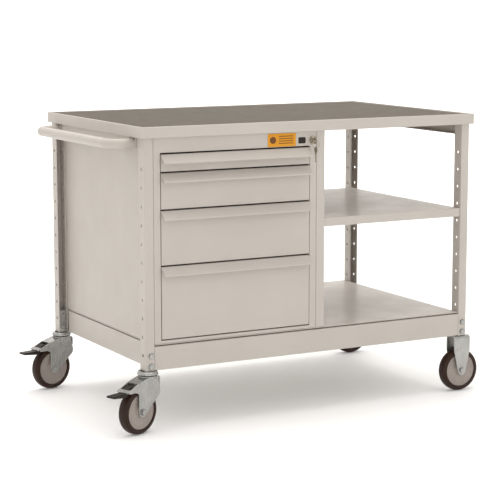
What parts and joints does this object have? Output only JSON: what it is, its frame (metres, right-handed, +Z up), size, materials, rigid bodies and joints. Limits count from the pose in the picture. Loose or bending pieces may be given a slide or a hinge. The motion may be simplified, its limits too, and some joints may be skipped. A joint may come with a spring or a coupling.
{
  "type": "mobile workbench",
  "caption": "Mobile workbench with a matted worktop, a locking drawer cabinet, an open shelf bay, a push handle and casters.",
  "frame": {"origin": "on the floor, under the middle of the bench's overall box", "axes": "+Z up; +X along the front from the handle end to the open bay; +Y from the drawer fronts to the back"},
  "size_m": [1.2202, 0.698, 0.82],
  "materials": {
    "light_grey_paint": "satin powder coat, light warm grey",
    "mat": "matt grey two-layer bench mat",
    "board": "raw chipboard core",
    "zinc_plate": "bright zinc plated sheet steel",
    "nickel": "nickel plated lock and keys",
    "wheel_centre": "moulded warm grey plastic wheel centre",
    "tyre": "dark brown-grey conductive rubber",
    "pedal_plastic": "black moulded brake pedal",
    "amber_label": null
  },
  "bodies": {
    "bench": {"axle_back_right": "zinc_plate", "axle_front_right": "zinc_plate", "base_rail_back": "light_grey_paint", "base_rail_front": "light_grey_paint", "base_rail_left": "light_grey_paint", "base_rail_right": "light_grey_paint", "bay_post_back": "light_grey_paint", "bay_post_front": "light_grey_paint", "bottom_deck": "light_grey_paint", "cabinet_back": "light_grey_paint", "cabinet_face": "light_grey_paint", "cabinet_floor": "light_grey_paint", "cabinet_side_left": "light_grey_paint", "cabinet_side_right": "light_grey_paint", "caster_mount_back_left": "zinc_plate", "caster_mount_front_left": "zinc_plate", "fork_back_right": "zinc_plate", "fork_front_right": "zinc_plate", "label_plate": "amber_label", "lock_case": "nickel", "mid_shelf": "light_grey_paint", "push_handle": "light_grey_paint", "runner_ladder_left": "zinc_plate", "runner_ladder_right": "zinc_plate", "top_rail_back": "light_grey_paint", "top_rail_left": "light_grey_paint", "top_rail_right": "light_grey_paint", "upright_back_left": "light_grey_paint", "upright_back_right": "light_grey_paint", "upright_front_left": "light_grey_paint", "upright_front_right": "light_grey_paint", "worktop_board": "board", "worktop_mat": "mat", "worktop_tray": "light_grey_paint"},
    "drawer_1": {"drawer_front_1": "light_grey_paint", "drawer_box_1": "light_grey_paint"},
    "drawer_2": {"drawer_front_2": "light_grey_paint", "drawer_box_2": "light_grey_paint"},
    "drawer_3": {"drawer_front_3": "light_grey_paint", "drawer_box_3": "light_grey_paint"},
    "drawer_4": {"drawer_front_4": "light_grey_paint", "drawer_box_4": "light_grey_paint"},
    "lock_barrel": {"lock_barrel": "nickel", "lock_key": "nickel"},
    "spare_key": {"key_ring": "nickel", "spare_key": "nickel"},
    "swivel_front_left": {"fork_front_left": "zinc_plate", "axle_front_left": "zinc_plate"},
    "wheel_front_left": {"tyre_front_left": "tyre", "wheel_hub_front_left": "wheel_centre"},
    "brake_front_left": {"brake_pedal_front_left": "pedal_plastic"},
    "wheel_front_right": {"tyre_front_right": "tyre", "wheel_hub_front_right": "wheel_centre"},
    "swivel_back_left": {"fork_back_left": "zinc_plate", "axle_back_left": "zinc_plate"},
    "wheel_back_left": {"tyre_back_left": "tyre", "wheel_hub_back_left": "wheel_centre"},
    "brake_back_left": {"brake_pedal_back_left": "pedal_plastic"},
    "wheel_back_right": {"tyre_back_right": "tyre", "wheel_hub_back_right": "wheel_centre"}
  },
  "joints": [
    {"name": "drawer_1_slide", "type": "slide", "parent": "bench", "child": "drawer_1", "axis": [0, -1, 0], "range_m": [0, 0.45]},
    {"name": "drawer_2_slide", "type": "slide", "parent": "bench", "child": "drawer_2", "axis": [0, -1, 0], "range_m": [0, 0.45]},
    {"name": "drawer_3_slide", "type": "slide", "parent": "bench", "child": "drawer_3", "axis": [0, -1, 0], "range_m": [0, 0.45]},
    {"name": "drawer_4_slide", "type": "slide", "parent": "bench", "child": "drawer_4", "axis": [0, -1, 0], "range_m": [0, 0.45]},
    {"name": "lock_turn", "type": "hinge", "parent": "bench", "child": "lock_barrel", "pos_m": [0.03354, -0.3206, 0.765], "axis": [0, -1, 0], "range_deg": [0, 90]},
    {"name": "spare_key_swing", "type": "hinge", "parent": "lock_barrel", "child": "spare_key", "pos_m": [0.03354, -0.3206, 0.765], "axis": [0, -1, 0], "range_deg": [-5, 25]},
    {"name": "swivel_front_left_turn", "type": "hinge", "parent": "bench", "child": "swivel_front_left", "pos_m": [-0.46496, -0.28452, 0.152], "axis": [0, 0, 1], "continuous": true},
    {"name": "wheel_front_left_spin", "type": "hinge", "parent": "swivel_front_left", "child": "wheel_front_left", "pos_m": [-0.50231, -0.29886, 0.06211], "axis": [-0.3584, 0.9336, 0], "continuous": true},
    {"name": "brake_front_left_press", "type": "hinge", "parent": "swivel_front_left", "child": "brake_front_left", "pos_m": [-0.52845, -0.30889, 0.131], "axis": [-0.3584, 0.9336, 0], "range_deg": [0, 14]},
    {"name": "swivel_back_left_turn", "type": "hinge", "parent": "bench", "child": "swivel_back_left", "pos_m": [-0.46496, 0.32048, 0.152], "axis": [0, 0, 1], "continuous": true},
    {"name": "wheel_back_left_spin", "type": "hinge", "parent": "swivel_back_left", "child": "wheel_back_left", "pos_m": [-0.50394, 0.31148, 0.06211], "axis": [-0.225, 0.9744, 0], "continuous": true},
    {"name": "brake_back_left_press", "type": "hinge", "parent": "swivel_back_left", "child": "brake_back_left", "pos_m": [-0.53122, 0.30518, 0.131], "axis": [-0.225, 0.9744, 0], "range_deg": [0, 14]},
    {"name": "wheel_front_right_spin", "type": "hinge", "parent": "bench", "child": "wheel_front_right", "pos_m": [0.54804, -0.28452, 0.06211], "axis": [0, 1, 0], "continuous": true},
    {"name": "wheel_back_right_spin", "type": "hinge", "parent": "bench", "child": "wheel_back_right", "pos_m": [0.54804, 0.32048, 0.06211], "axis": [0, 1, 0], "continuous": true}
  ]
}
